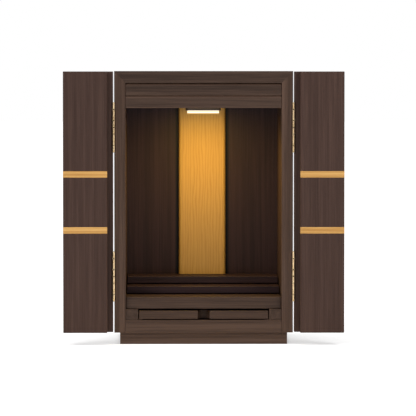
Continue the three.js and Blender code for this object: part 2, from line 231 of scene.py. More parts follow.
def stretched_noise(tree, grain, across, along, detail, distortion=0.0):
    """Noise that is `across` metres wide and `along` metres long in the direction of the grain."""
    places = add_node(tree, "ShaderNodeTexCoord")
    stretch = add_node(tree, "ShaderNodeMapping")
    scale = [1 / across] * 3
    scale[grain_axes[grain]] = 1 / along
    stretch.inputs["Scale"].default_value = scale
    board = add_node(tree, "ShaderNodeAttribute", {"attribute_name": "board_number"})
    noise = add_node(tree, "ShaderNodeTexNoise", {"noise_dimensions": "4D"}, Scale=1.0,
                     Detail=detail, Roughness=0.6, Distortion=distortion)
    wire(tree, places.outputs["Object"], stretch.inputs["Vector"])
    wire(tree, stretch.outputs["Vector"], noise.inputs["Vector"])
    wire(tree, board.outputs["Fac"], noise.inputs["W"])
    return noise.outputs["Fac"]


def blend_of(tree, first, second, share):
    """Mixes two grey values; `share` is how much of the second one counts."""
    mix = add_node(tree, "ShaderNodeMix", {"data_type": "FLOAT"})
    mix.inputs[mix_share].default_value = share
    wire(tree, first, mix.inputs[number_a])
    wire(tree, second, mix.inputs[number_b])
    return mix.outputs[mixed_number]


print("grain can run along", sorted(grain_axes))

# %% [markdown]
# Three layers of that stretched noise make the board. Wide, faint bands are the years of growth. Thin
# streaks are the fibres. Short dark dashes are the open pores, which also go into the bump.
#
# A stain is rubbed thin where a cloth runs over an edge. So the rounded edges are a little lighter than
# the faces, unevenly. Where the amount is set high, as on the lintel, the same tone is also a painted
# highlight. An attribute of each face says whether it belongs to an edge.

# %% Wood finish
band_size = (7.5 * MM, 550 * MM)  # each size is taken across the grain and along it
fibre_size = (1.4 * MM, 90 * MM)
pore_size = (0.45 * MM, 9 * MM)
# The lighter edge tone below stands for rubbed wear, and on the lintel also for a painted highlight.
wear_and_sheen_lightness = 2.4  # how much lighter than the middle tone a rubbed edge is


def make_wood(name, grain, tones, roughness, pore_depth, reach, wear_and_sheen):
    """A wood with its grain along one axis. `tones` are three linear colours from dark to light.

    `reach` is how far the noise has to leave its middle to give the darkest or the lightest tone.
    """
    material, tree, shader = start_material(
        name, Coat_Weight=0.02, Coat_Roughness=0.35, Specular_IOR_Level=0.17)
    bands = stretched_noise(tree, grain, *band_size, detail=2.0, distortion=0.6)
    fibres = stretched_noise(tree, grain, *fibre_size, detail=4.0)
    pores = stretched_noise(tree, grain, *pore_size, detail=2.0)

    tone = blend_of(tree, bands, fibres, share=0.5)
    ramp = add_node(tree, "ShaderNodeValToRGB")
    ramp.color_ramp.elements[0].position = 0.5 - reach
    ramp.color_ramp.elements[0].color = (*tones[0], 1)
    ramp.color_ramp.elements[1].position = 0.5 + reach
    ramp.color_ramp.elements[1].color = (*tones[2], 1)
    ramp.color_ramp.elements.new(0.5).color = (*tones[1], 1)
    wire(tree, tone, ramp.inputs["Fac"])

    pits = add_node(tree, "ShaderNodeMapRange", {"clamp": True}, From_Min=0.62, From_Max=0.72,
                    To_Min=1.0, To_Max=1.0 - pore_depth)
    wire(tree, pores, pits.inputs["Value"])
    darken = add_node(tree, "ShaderNodeMix", {"data_type": "RGBA", "blend_type": "MULTIPLY"})
    darken.inputs[mix_share].default_value = 1.0
    wire(tree, ramp.outputs["Color"], darken.inputs[colour_a])
    wire(tree, pits.outputs["Result"], darken.inputs[colour_b])

    # Edge faces get the lighter tone: rubbed wear, and where the amount is high, a painted highlight.
    edge = add_node(tree, "ShaderNodeAttribute", {"attribute_name": "edge_wear_and_sheen"})
    rubbed_and_sheen = add_node(tree, "ShaderNodeMapRange", {"clamp": True}, From_Min=0.3, From_Max=0.6,
                      To_Min=0.5 * wear_and_sheen, To_Max=wear_and_sheen)
    wire(tree, bands, rubbed_and_sheen.inputs["Value"])
    share = add_node(tree, "ShaderNodeMath", {"operation": "MULTIPLY"})
    wire(tree, edge.outputs["Fac"], share.inputs[0])
    wire(tree, rubbed_and_sheen.outputs["Result"], share.inputs[1])
    lighten = add_node(tree, "ShaderNodeMix", {"data_type": "RGBA", "blend_type": "MIX"})
    wire(tree, share.outputs["Value"], lighten.inputs[mix_share])
    wire(tree, darken.outputs[mixed_colour], lighten.inputs[colour_a])
    lighten.inputs[colour_b].default_value = (*[min(1.0, wear_and_sheen_lightness * v) for v in tones[1]], 1)
    wire(tree, lighten.outputs[mixed_colour], shader.inputs["Base Color"])

    gloss = add_node(tree, "ShaderNodeMapRange", {"clamp": True}, From_Min=0.3, From_Max=0.7,
                     To_Min=roughness - 0.05, To_Max=roughness + 0.07)
    wire(tree, fibres, gloss.inputs["Value"])
    wire(tree, gloss.outputs["Result"], shader.inputs["Roughness"])

    relief = blend_of(tree, fibres, pits.outputs["Result"], share=0.6)
    bump = add_node(tree, "ShaderNodeBump", Strength=0.25, Distance=0.25 * MM)
    wire(tree, relief, bump.inputs["Height"])
    wire(tree, bump.outputs["Normal"], shader.inputs["Normal"])
    return material


print("wood finish ready")

# %% [markdown]
# ## The three dark woods and the pale one
# The case, the leaves and the inside of the chamber are stained a little differently: the leaves are
# redder, the inside is darker, partly from its own stain and partly as painted shade for the dim chamber.
# The inlays and the panel behind the altar are a pale golden wood. The sides, the bottom, the plinth and
# the tray get lighter copies of their wood: painted light, for the extra light that falls on them. One
# material is made for each direction of grain that a board of that wood needs.

# %% Woods
wood_tones = {
    "case_wood": ((0.026, 0.0136, 0.0084), (0.041, 0.0225, 0.0148), (0.061, 0.035, 0.0238)),
    "leaf_wood": ((0.032, 0.0150, 0.0104), (0.0445, 0.0225, 0.0163), (0.061, 0.0325, 0.0240)),
    # The inside's dark tones are partly its own stain and partly painted shade for the dim chamber.
    "inside_wood": ((0.0160, 0.0072, 0.0072), (0.0248, 0.0114, 0.0118), (0.0352, 0.0168, 0.0176)),
    "pale_wood": ((0.37, 0.182, 0.045), (0.475, 0.252, 0.072), (0.57, 0.33, 0.108)),
}
wood_characters = {
    "case_wood": dict(roughness=0.5, pore_depth=0.5, reach=0.09, wear_and_sheen=0.45),
    "leaf_wood": dict(roughness=0.5, pore_depth=0.5, reach=0.13, wear_and_sheen=0.2),
    "inside_wood": dict(roughness=0.55, pore_depth=0.5, reach=0.12, wear_and_sheen=0.3),
    "pale_wood": dict(roughness=0.45, pore_depth=0.25, reach=0.10, wear_and_sheen=0.0),
}
# These factors paint extra light onto the sides, the lower boards and the tray.
painted_lighter_boards = {"bottom_board": 1.22, "plinth_front": 1.5, "plinth_left": 1.5, "plinth_right": 1.5,
                  "plinth_back": 1.5, "side_panel_left": 1.48, "side_panel_right": 1.48, "tray": 1.25}
kept_contrast = 0.8  # the share of the grain's contrast that a lighter board keeps
woods = {}


def wood(node, grain):
    """The wood of a node with its grain along x, y or z, made when it is first asked for."""
    slot = slot_of_node[node]
    lightness = painted_lighter_boards.get(node, 1.0)
    contrast = 1.0 if lightness == 1.0 else kept_contrast
    middle = wood_tones[slot][1]
    if (slot, grain, lightness) not in woods:
        tones = [[lightness * (mean + contrast * (value - mean)) for value, mean in zip(tone, middle)]
                 for tone in wood_tones[slot]]
        woods[slot, grain, lightness] = make_wood(
            f"{slot}_{grain}_{round(100 * lightness)}", grain, tones, **wood_characters[slot])
    return woods[slot, grain, lightness]


print("woods:", sorted(wood_tones))

# %% [markdown]
# ## Finishing a piece
# A bmesh becomes an object in the same few steps each time: it gets its material and its board number, it
# is linked to the scene, it hides the part it stands for and it rides on that part's body. The Weighted
# Normal modifier keeps the broad faces of a board flat in the light, so that only the narrow rounds at its
# edges catch a highlight. A face that looks along none of the three axes is part of a rounded or chamfered
# edge, which is how the edges are found that get the lighter worn tone, and on the lintel a painted highlight.

# %% Finish helper
smooth_angle = math.radians(35)
board_step = 1.7  # how far the noise of one board lies from that of the next
along_an_axis = 0.98  # the least share of a flat face's direction that lies along X, Y or Z
finished = []


def finish_piece(shape, material, *nodes, wear_and_sheen=1.0):
    """Turns a bmesh into the visible piece that stands for the named CAD nodes."""
    name = f"{nodes[0]}_finish"
    mesh = bpy.data.meshes.new(name)
    shape.to_mesh(mesh)
    shape.free()
    mesh.polygons.foreach_set("use_smooth", [True] * len(mesh.polygons))
    mesh.set_sharp_from_angle(angle=smooth_angle)
    numbers = mesh.attributes.new("board_number", "FLOAT", "POINT")
    numbers.data.foreach_set("value", [board_step * (len(finished) + 1)] * len(mesh.vertices))
    # Edge faces carry the amount of lighter edge tone: rubbed wear, and on the lintel a painted highlight.
    slanted = [wear_and_sheen * (max(abs(v) for v in face.normal) < along_an_axis) for face in mesh.polygons]
    mesh.attributes.new("edge_wear_and_sheen", "FLOAT", "FACE").data.foreach_set("value", slanted)
    mesh.materials.append(material)
    piece = bpy.data.objects.new(name, mesh)
    bpy.context.scene.collection.objects.link(piece)
    normals = piece.modifiers.new("flat faces", "WEIGHTED_NORMAL")
    normals.keep_sharp = True
    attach(piece, body_of_node[nodes[0]])
    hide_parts(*nodes)
    finished.append(name)


print("finish helper ready")

# %% [markdown]
# ## Boards
# No real board has a knife edge: sandpaper takes it off before the stain goes on. The construction
# already has every groove, mitre and hinge pocket, so the plainest way to a real board is to copy its
# mesh and round the edges of the copy. The loose triangles are first merged and dissolved into whole
# faces, because a bevel follows edges, and the diagonals of triangles aren't edges of the board. The
# mitres at the top corners are glued and sanded as one, so their edges stay sharp and their gap is closed.

# %% Board helpers
touching = 0.01 * MM  # two places nearer than this count as one
slight_bend = math.radians(30)  # an edge that bends more than this is rounded
square_bend = math.radians(60)  # an edge that bends more than this is a square one
leaning = 0.6  # a mitre's face has more than this share of its direction in X, and in Z


def rise(edge):
    """How far an edge climbs along Z, which is nothing for a level one."""
    return abs(edge.verts[0].co.z - edge.verts[1].co.z)


def in_mitre(edge):
    """True for an edge of a face that leans 45 degrees in X and Z, as the glued ends of the case do."""
    return any(abs(face.normal.x) > leaning and abs(face.normal.z) > leaning for face in edge.link_faces)


def round_edges(shape, edges, radius, segments):
    """Rounds some edges of a shape."""
    bmesh.ops.bevel(shape, geom=edges, offset=radius, segments=segments, profile=0.5, affect="EDGES",
                    material=-1, clamp_overlap=True)


def whole_board(node):
    """A copy of a CAD node as a bmesh, with its triangles merged into whole faces."""
    shape = bmesh.new()
    shape.from_mesh(frame["nodes"][node].data)
    bmesh.ops.remove_doubles(shape, verts=shape.verts, dist=0.1 * touching)
    bmesh.ops.dissolve_limit(shape, angle_limit=math.radians(1), verts=shape.verts, edges=shape.edges)
    return shape


def soften_edges(shape, round_mm=0.6):
    """Rounds every edge of a board that bends, apart from those of its mitres."""
    sharp = [e for e in shape.edges
             if e.is_manifold and e.calc_face_angle() > slight_bend and not in_mitre(e)]
    round_edges(shape, sharp, round_mm * MM, segments=3)


def add_boards(grain, names, round_mm=0.6, wear_and_sheen=1.0):
    """Finishes a list of boards whose grain runs along the same axis."""
    for node in names:
        shape = whole_board(node)
        soften_edges(shape, round_mm)
        finish_piece(shape, wood(node, grain), node, wear_and_sheen=wear_and_sheen)
    print(f"grain along {grain}:", ", ".join(names))


print("board helpers ready")

# %% [markdown]
# The direction of the grain follows the way that a joiner cuts the boards: along the length of each one.
# The sides and the back stand upright. The top, the rails, the floor, the platforms and the tray lie
# across. At the mitred corners of the case the two directions meet, as they do in the photograph.
#
# The sides come first. Their outer edges are rounded more than the rest. They turn towards the doors
# there, which keeps them dark, and no cloth reaches them.

# %% Sides of the case
sides = ("left", "right")
mitre_fill = 0.4 * MM
outer_round = 1.4 * MM
for side in sides:
    node = f"side_panel_{side}"
    board = whole_board(node)
    outer_x = max(abs(vert.co.x) for vert in board.verts)
    outer = [e for e in board.edges if all(abs(abs(v.co.x) - outer_x) < touching for v in e.verts)
             and rise(e) > 5 * MM and e.calc_face_angle() > square_bend]
    round_edges(board, outer, outer_round, segments=4)
    soften_edges(board)
    glued = {vert for edge in board.edges if in_mitre(edge) for vert in edge.verts}
    glued = [vert for vert in glued if vert.co.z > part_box("top_board")[0].z - 1 * MM]
    bmesh.ops.translate(board, vec=(0, 0, mitre_fill), verts=glued)
    finish_piece(board, wood(node, "z"), node, wear_and_sheen=0.15)
print("sides of the case, mitres closed by", round(mitre_fill / MM, 2), "mm")

# %% [markdown]
# The other boards of the case and of the chamber need nothing of their own. Each list has its direction
# of grain and its rounding. The fine boards inside have the smallest one, and the tray, which slides past
# its runners, is hardly worn along its edges.

# %% Other boards of the case and the chamber
add_boards("z", ["back_board"])
add_boards("x", ["top_board", "bottom_board", "plinth_front", "plinth_back"])
add_boards("y", ["plinth_left", "plinth_right", "tray_runner_left", "tray_runner_right"], round_mm=0.4)
add_boards("x", ["ceiling_board", "floor_board", "step_lower", "step_upper"], round_mm=0.35)
add_boards("x", ["tray"], round_mm=0.35, wear_and_sheen=0.2)

# %% [markdown]
# ## The lintel
# Two boards close the top of the chamber, one above the other. Each has a broad chamfer on its upper
# front edge, which catches the light as a thin bright line. The rounding is wider than on other boards,
# and the edges get much more of the lighter edge tone: partly rubbed wear, partly a painted highlight
# that strengthens the bright line.

# %% Lintel
# The high amount here paints a highlight along the chamfers, on top of the rubbed wear.
add_boards("x", ["lintel_upper", "lintel_lower"], round_mm=1.0, wear_and_sheen=1.4)

# %% [markdown]
# ## The leaves
# Four leaves make the two folding doors. Their grain stands upright. Their chamfered edges only need a
# small rounding, because the chamfer has already softened them.

# %% Leaves
for side in sides:
    add_boards("z", [f"{side}_outer_leaf", f"{side}_inner_leaf"], round_mm=0.3)

# %% [markdown]
# ## The inlays
# Two bands of pale wood cross each leaf. They are let into grooves and sanded flush, so no gap shows
# round them. Each is a block that fills its groove, with its grain along the band and edges that are
# barely broken. The construction leaves a little air round a band, which this block takes up.

# %% Inlays
def block_between(low, high):
    """A box between two corners, as a bmesh."""
    shape = bmesh.new()
    size = Vector(high) - Vector(low)
    bmesh.ops.create_cube(shape, size=1.0)
    bmesh.ops.scale(shape, vec=size, verts=shape.verts)
    bmesh.ops.translate(shape, vec=(Vector(low) + Vector(high)) / 2, verts=shape.verts)
    return shape


inlay_fill = 0.28 * MM
inlay_round = 0.15 * MM
for side in sides:
    for leaf in ("outer", "inner"):
        for place in ("lower", "upper"):
            node = f"{side}_{leaf}_inlay_{place}"
            low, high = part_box(node)
            grow = Vector((0, 0, inlay_fill))
            band = block_between(low - grow, high + grow)
            round_edges(band, list(band.edges), inlay_round, segments=2)
            finish_piece(band, wood(node, "x"), node)
print("inlays:", sum("inlay" in name for name in finished), "of", round((high.z - low.z) / MM, 1), "mm")

# %% [markdown]
# ## The pale panel
# The panel behind the altar is a thin board of the pale wood, cut so that its grain runs straight up in
# fine, close lines. Those lines are the lively part of it, so it gets a material of its own: a Wave
# texture draws them, some noise bends them, and short fibres lie between them. The two upright front
# edges are rounded wide, so they turn away from the lamp and frame the panel with a soft shade.

# %% Panel wood
line_spacing = 5.2 * MM
wave_repeat = 0.314  # the distance in metres at which a Wave texture repeats at a scale of one
wave_stretch = 0.16  # how slowly the lines bend along Z


def make_panel_wood():
    """Pale wood with wavy dark lines along Z."""
    material, tree, shader = start_material(
        "panel_wood", Roughness=0.45, Coat_Weight=0.03, Coat_Roughness=0.3, Specular_IOR_Level=0.2)
    places = add_node(tree, "ShaderNodeTexCoord")
    stretch = add_node(tree, "ShaderNodeMapping")
    stretch.inputs["Scale"].default_value = (1, 1, wave_stretch)
    wire(tree, places.outputs["Object"], stretch.inputs["Vector"])
    lines = add_node(tree, "ShaderNodeTexWave", {"bands_direction": "X", "wave_profile": "SIN"},
                     Scale=wave_repeat / line_spacing, Distortion=7.0, Detail=3.0, Detail_Scale=1.3)
    wire(tree, stretch.outputs["Vector"], lines.inputs["Vector"])
    fibres = stretched_noise(tree, "z", 0.9 * MM, 50 * MM, detail=4.0)
    tone = blend_of(tree, lines.outputs["Fac"], fibres, share=0.62)
    ramp = add_node(tree, "ShaderNodeValToRGB")
    ramp.color_ramp.elements[0].position = 0.20
    ramp.color_ramp.elements[0].color = (0.378, 0.197, 0.047, 1)
    ramp.color_ramp.elements[1].position = 0.80
    ramp.color_ramp.elements[1].color = (0.480, 0.276, 0.071, 1)
    ramp.color_ramp.elements.new(0.5).color = (0.442, 0.245, 0.061, 1)
    wire(tree, tone, ramp.inputs["Fac"])
    wire(tree, ramp.outputs["Color"], shader.inputs["Base Color"])
    bump = add_node(tree, "ShaderNodeBump", Strength=0.3, Distance=0.3 * MM)
    wire(tree, tone, bump.inputs["Height"])
    wire(tree, bump.outputs["Normal"], shader.inputs["Normal"])
    return material


panel_wood = make_panel_wood()
panel_low, panel_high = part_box("centre_panel")
panel_round = 6 * MM
panel = block_between(panel_low, panel_high)
panel_edges = [e for e in panel.edges if all(abs(v.co.y - panel_low.y) < touching for v in e.verts)
               and rise(e) > 1 * MM]
round_edges(panel, panel_edges, panel_round, segments=8)
finish_piece(panel, panel_wood, "centre_panel")
print("panel finished, its upright edges rounded by", round(panel_round / MM, 1), "mm")

# %% [markdown]
# ## The dark line beside the panel
# A narrow dark line runs up both sides of the panel. It is painted shade: the panel stands proud of the
# back board and keeps the lamp's light off it there. The board's own colour is multiplied by a factor that depends
# on
# the distance from the middle: nearly black at the panel, and full a few millimetres further out. The
# painted shade is on the front face alone. A second factor, from the depth, keeps the rest of the board free of
# it.

# %% Dark lines on the back board
painted_shade_width = 8 * MM
painted_shade_core = 0.4 * painted_shade_width  # as far as this it is at its darkest
painted_shade_skin = 0.2 * MM  # it starts to end at this depth
painted_shade_depth = 0.5 * MM
darkest_painted_shade = 0.06  # the share of the board's colour that is left beside the panel
shaded_board_tree = wood("back_board", "z").node_tree
shaded_board_shader = next(node for node in shaded_board_tree.nodes if node.type == "BSDF_PRINCIPLED")
board_colour = shaded_board_shader.inputs["Base Color"].links[0].from_socket
board_places = add_node(shaded_board_tree, "ShaderNodeTexCoord")
board_axes = add_node(shaded_board_tree, "ShaderNodeSeparateXYZ")
wire(shaded_board_tree, board_places.outputs["Object"], board_axes.inputs["Vector"])
from_middle = add_node(shaded_board_tree, "ShaderNodeMath", {"operation": "ABSOLUTE"})
wire(shaded_board_tree, board_axes.outputs["X"], from_middle.inputs[0])
fade = add_node(shaded_board_tree, "ShaderNodeMapRange", {"clamp": True, "interpolation_type": "SMOOTHSTEP"},
                From_Min=panel_high.x + painted_shade_core, From_Max=panel_high.x + painted_shade_width,
                To_Min=darkest_painted_shade, To_Max=1.0)
wire(shaded_board_tree, from_middle.outputs["Value"], fade.inputs["Value"])
board_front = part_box("back_board")[0].y
behind_front = add_node(shaded_board_tree, "ShaderNodeMapRange", {"clamp": True},
                        From_Min=board_front + painted_shade_skin, From_Max=board_front + painted_shade_depth)
wire(shaded_board_tree, board_axes.outputs["Y"], behind_front.inputs["Value"])
front_only = add_node(shaded_board_tree, "ShaderNodeMath", {"operation": "MAXIMUM"})
wire(shaded_board_tree, fade.outputs["Result"], front_only.inputs[0])
wire(shaded_board_tree, behind_front.outputs["Result"], front_only.inputs[1])
# Painted shade: the back board's colour is darkened beside the panel.
painted_shade_mix = add_node(shaded_board_tree, "ShaderNodeMix", {"data_type": "RGBA", "blend_type": "MULTIPLY"})
painted_shade_mix.inputs[mix_share].default_value = 1.0
wire(shaded_board_tree, board_colour, painted_shade_mix.inputs[colour_a])
wire(shaded_board_tree, front_only.outputs["Value"], painted_shade_mix.inputs[colour_b])
wire(shaded_board_tree, painted_shade_mix.outputs[mixed_colour], shaded_board_shader.inputs["Base Color"])
print("dark lines beside the panel:", round(painted_shade_width / MM, 1), "mm wide")

# %% [markdown]
# ## The lamp
# A slim bar lamp hangs under the ceiling. Its dark housing and its bright diffuser have the same plan:
# a bar with round ends. A cube becomes such a bar when its four upright edges are bevelled by half its
# width, because the two rounds at each end then meet in a half circle. The lower rims are rounded as
# well, since both are moulded parts.

# %% Bar with round ends
almost_all = 0.999  # keeps the two rounds of an end a hair apart, so that they can't cross


def round_ended_bar(node, rim):
    """A bar that fills a node's box, with half-round ends and a rounded lower rim."""
    low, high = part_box(node)
    shape = block_between(low, high)
    upright = [e for e in shape.edges if rise(e) > 1 * MM]
    round_edges(shape, upright, (high.y - low.y) / 2 * almost_all, segments=10)
    rim_edges = [e for e in shape.edges
                 if all(abs(v.co.z - low.z) < touching for v in e.verts) and len(e.link_faces) == 2
                 and e.calc_face_angle() > square_bend]
    round_edges(shape, rim_edges, rim, segments=5)
    return shape


print("bar helper ready")

# %% [markdown]
# The housing is painted metal with a fine speckle in its gloss. The cover is milky plastic that glows. The
# light inside sits in its middle, so the cover is brightest there and turns orange towards its upper and
# lower rims. A colour ramp over its height paints that glow.

# %% Lamp finishes
housing_paint, housing_tree, housing_shader = start_material(
    "lamp_housing_paint", Base_Color=(0.060, 0.036, 0.018, 1), Specular_IOR_Level=0.4)
speckle = add_node(housing_tree, "ShaderNodeTexNoise", Scale=2500.0, Detail=2.0)
speckle_places = add_node(housing_tree, "ShaderNodeTexCoord")
wire(housing_tree, speckle_places.outputs["Object"], speckle.inputs["Vector"])
housing_gloss = add_node(housing_tree, "ShaderNodeMapRange", To_Min=0.42, To_Max=0.6)
wire(housing_tree, speckle.outputs["Fac"], housing_gloss.inputs["Value"])
wire(housing_tree, housing_gloss.outputs["Result"], housing_shader.inputs["Roughness"])

diffuser_cover, diffuser_tree, diffuser_shader = start_material(
    "lamp_diffuser_cover", Base_Color=(0.42, 0.30, 0.12, 1), Roughness=0.35, Emission_Strength=1.3)
lamp_low, lamp_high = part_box("lamp_diffuser")
glow_places = add_node(diffuser_tree, "ShaderNodeTexCoord")
glow_split = add_node(diffuser_tree, "ShaderNodeSeparateXYZ")
wire(diffuser_tree, glow_places.outputs["Object"], glow_split.inputs["Vector"])
glow_height = add_node(diffuser_tree, "ShaderNodeMapRange", {"clamp": True},
                       From_Min=lamp_low.z, From_Max=lamp_high.z)
wire(diffuser_tree, glow_split.outputs["Z"], glow_height.inputs["Value"])
glow_tone = add_node(diffuser_tree, "ShaderNodeValToRGB")
for position, colour in ((0.0, (0.40, 0.18, 0.01, 1)), (0.20, (0.75, 0.48, 0.12, 1)),
                         (0.36, (1.0, 0.93, 0.68, 1)), (0.66, (1.0, 0.93, 0.68, 1)),
                         (0.80, (0.42, 0.22, 0.03, 1)), (1.0, (0.16, 0.08, 0.01, 1))):
    if position in (0.0, 1.0):
        glow_tone.color_ramp.elements[int(position)].color = colour
    else:
        glow_tone.color_ramp.elements.new(position).color = colour
wire(diffuser_tree, glow_height.outputs["Result"], glow_tone.inputs["Fac"])
wire(diffuser_tree, glow_tone.outputs["Color"], diffuser_shader.inputs["Emission Color"])
print("lamp finishes ready")

# %% Lamp pieces
finish_piece(round_ended_bar("lamp_housing", rim=0.8 * MM), housing_paint, "lamp_housing")
finish_piece(round_ended_bar("lamp_diffuser", rim=2.2 * MM), diffuser_cover, "lamp_diffuser")
print("diffuser length", round((lamp_high.x - lamp_low.x) / MM, 1), "mm")

# %% [markdown]
# The glowing cover alone would light the chamber with a lot of noise, because few light paths find so
# small a surface. An area light of the same size, just under it, lights the panel and the platforms
# cleanly. It faces down and leans a little to the back, because the cover also glows at its sides. Its
# strongest light on the panel then falls a hand's breadth below the lamp, as in the photograph.

# %% Lamp light
lamp_drop = 1.5 * MM  # how far the light hangs under the cover
lamp_tilt = math.radians(11)
lamp_light = bpy.data.lights.new("altar_lamp_light", "AREA")
lamp_light.shape = "RECTANGLE"
lamp_light.size = lamp_high.x - lamp_low.x
lamp_light.size_y = lamp_high.y - lamp_low.y
lamp_light.color = (1.0, 0.70, 0.14)
lamp_light.spread = math.radians(168)
lamp_light.energy = 0.62
altar_lamp = bpy.data.objects.new("altar_lamp_light", lamp_light)
altar_lamp.location = ((lamp_low.x + lamp_high.x) / 2, (lamp_low.y + lamp_high.y) / 2,
                       lamp_low.z - lamp_drop)
altar_lamp.rotation_euler = (lamp_tilt, 0, 0)
bpy.context.scene.collection.objects.link(altar_lamp)
print("lamp light energy", lamp_light.energy, "W")

# %% [markdown]
# ## The brass
# The hinges are solid brass with a drawn, slightly worn polish. Brass has no colour of its own apart
# from its reflections, so a full metallic value and a golden base are enough for its body. Fine lines
# across the barrel, from turning, and a faint change of roughness keep it from looking like plastic. In
# the grooves, where no hand or cloth reaches, it has tarnished to a dull brown; the nearly black colour
# there, and on the washer between the halves, is also painted shade. An attribute marks them.

# %% Brass finish
turning_width = 4 * MM  # the lines of turning are long round the barrel and fine along it
turning_height = 0.25 * MM
brass, brass_tree, brass_shader = start_material("hinge_brass", Metallic=1.0)
brass_places = add_node(brass_tree, "ShaderNodeTexCoord")
brass_stretch = add_node(brass_tree, "ShaderNodeMapping")
brass_stretch.inputs["Scale"].default_value = (1 / turning_width, 1 / turning_width, 1 / turning_height)
brass_lines = add_node(brass_tree, "ShaderNodeTexNoise", Scale=1.0, Detail=3.0)
brass_cloud = add_node(brass_tree, "ShaderNodeTexNoise", Scale=120.0, Detail=2.0)
wire(brass_tree, brass_places.outputs["Object"], brass_stretch.inputs["Vector"])
wire(brass_tree, brass_stretch.outputs["Vector"], brass_lines.inputs["Vector"])
wire(brass_tree, brass_places.outputs["Object"], brass_cloud.inputs["Vector"])
brass_tone = add_node(brass_tree, "ShaderNodeValToRGB")
brass_tone.color_ramp.elements[0].position = 0.35
brass_tone.color_ramp.elements[0].color = (0.74, 0.515, 0.275, 1)
brass_tone.color_ramp.elements[1].position = 0.62
brass_tone.color_ramp.elements[1].color = (0.95, 0.725, 0.445, 1)
wire(brass_tree, brass_cloud.outputs["Fac"], brass_tone.inputs["Fac"])
tarnish_and_shade = add_node(brass_tree, "ShaderNodeAttribute", {"attribute_name": "tarnish_and_shade"})
brass_colour = add_node(brass_tree, "ShaderNodeMix", {"data_type": "RGBA", "blend_type": "MIX"})
wire(brass_tree, tarnish_and_shade.outputs["Fac"], brass_colour.inputs[mix_share])
wire(brass_tree, brass_tone.outputs["Color"], brass_colour.inputs[colour_a])
# Nearly black in the grooves and on the washer: tarnish, and painted shade.
brass_colour.inputs[colour_b].default_value = (0.030, 0.020, 0.012, 1)
wire(brass_tree, brass_colour.outputs[mixed_colour], brass_shader.inputs["Base Color"])
brass_gloss = add_node(brass_tree, "ShaderNodeMapRange", To_Min=0.20, To_Max=0.36)
wire(brass_tree, brass_lines.outputs["Fac"], brass_gloss.inputs["Value"])
brass_rough = add_node(brass_tree, "ShaderNodeMix", {"data_type": "FLOAT"})
wire(brass_tree, tarnish_and_shade.outputs["Fac"], brass_rough.inputs[mix_share])
wire(brass_tree, brass_gloss.outputs["Result"], brass_rough.inputs[number_a])
brass_rough.inputs[number_b].default_value = 0.6
wire(brass_tree, brass_rough.outputs[mixed_number], brass_shader.inputs["Roughness"])
brass_bump = add_node(brass_tree, "ShaderNodeBump", Strength=0.15, Distance=0.05 * MM)
wire(brass_tree, brass_lines.outputs["Fac"], brass_bump.inputs["Height"])
wire(brass_tree, brass_bump.outputs["Normal"], brass_shader.inputs["Normal"])
print("brass ready")

# %% [markdown]
# ## The hinges
# The doors hang on lift-off hinges. Each has a pin in its lower half, and the upper half drops over it,
# so a door can be lifted away. The barrel is a turned part: one profile from its axis out and back to
# the axis, spun once round. Rings are turned into both halves, deeper ones into the upper half. A washer
# lies between the halves, and it belongs to the lower one.

# %% Turned barrel
barrel_gap = 1.0 * MM
barrel_chamfer = 0.45 * MM
washer_inset = 1.3 * barrel_chamfer
groove_floor = 0.6  # the flat floor of a groove, as a share of its width
# Points deeper than this, in the grooves, at the chamfered ends and on the washer, get the dark colour of tarnish
# and painted shade.
tarnish_and_shade_depth = 0.3 * MM  # a groove deeper than this keeps its tarnish


def turned_barrel(shape, radius, low, high, rings, washer):
    """Spins a barrel round the Z axis. `rings` are (height, half width, depth) of its grooves."""
    tarnish_and_shade_of = shape.verts.layers.float.new("tarnish_and_shade")
    outline = [(0, low), (radius - barrel_chamfer, low), (radius, low + barrel_chamfer)]
    for height, wide, deep in sorted(rings):
        flat = groove_floor * wide
        outline += [(radius, height - wide), (radius - deep, height - flat),
                    (radius - deep, height + flat), (radius, height + wide)]
    outline += [(radius, high - barrel_chamfer), (radius - barrel_chamfer, high)]
    if washer:
        outline += [(radius - washer_inset, high), (radius - washer_inset, high + washer)]
    outline += [(0, high + washer)]
    points = [shape.verts.new((r, 0, z)) for r, z in outline]
    edges = [shape.edges.new(pair) for pair in zip(points, points[1:])]
    bmesh.ops.spin(shape, geom=points + edges, axis=(0, 0, 1), cent=(0, 0, 0), steps=32,
                   angle=math.tau, use_merge=True)
    bmesh.ops.remove_doubles(shape, verts=shape.verts, dist=touching)
    bmesh.ops.recalc_face_normals(shape, faces=shape.faces)
    # Deep grooves, the chamfered ends and the washer are marked for the dark colour of tarnish and painted shade.
    for vert in shape.verts:
        vert[tarnish_and_shade_of] = float(vert.co.xy.length < radius - tarnish_and_shade_depth)


print("barrel helper ready, gap between halves", round(barrel_gap / MM, 1), "mm")

# %% [markdown]
# The plate is one flat outline with a notch that leaves room for the barrel of the other half. It is
# extruded to its thickness, and its two outer corners are rounded, as a stamped plate's are.

# %% Plate with a notch
plate_corner = 2 * MM


def notched_plate(shape, face_at, thickness, width, half, notch, upper):
    """A plate in X and Z that reaches the pin in its own half and stops at the notch in the other."""
    middle = barrel_gap / 2
    if upper:
        outline = [(notch, -half), (width, -half), (width, half), (0, half), (0, middle), (notch, middle)]
    else:
        outline = [(0, -half), (width, -half), (width, half), (notch, half), (notch, -middle), (0, -middle)]
    corners = [shape.verts.new((x, face_at, z)) for x, z in outline]
    face = shape.faces.new(corners)
    grown = bmesh.ops.extrude_face_region(shape, geom=[face])
    moved = [part for part in grown["geom"] if isinstance(part, bmesh.types.BMVert)]
    bmesh.ops.translate(shape, vec=(0, thickness, 0), verts=moved)
    outer = [e for e in shape.edges if all(abs(v.co.x - width) < touching for v in e.verts)
             and abs(e.verts[0].co.y - e.verts[1].co.y) > 0.5 * thickness]
    round_edges(shape, outer, plate_corner, segments=5)


print("plate helper ready")

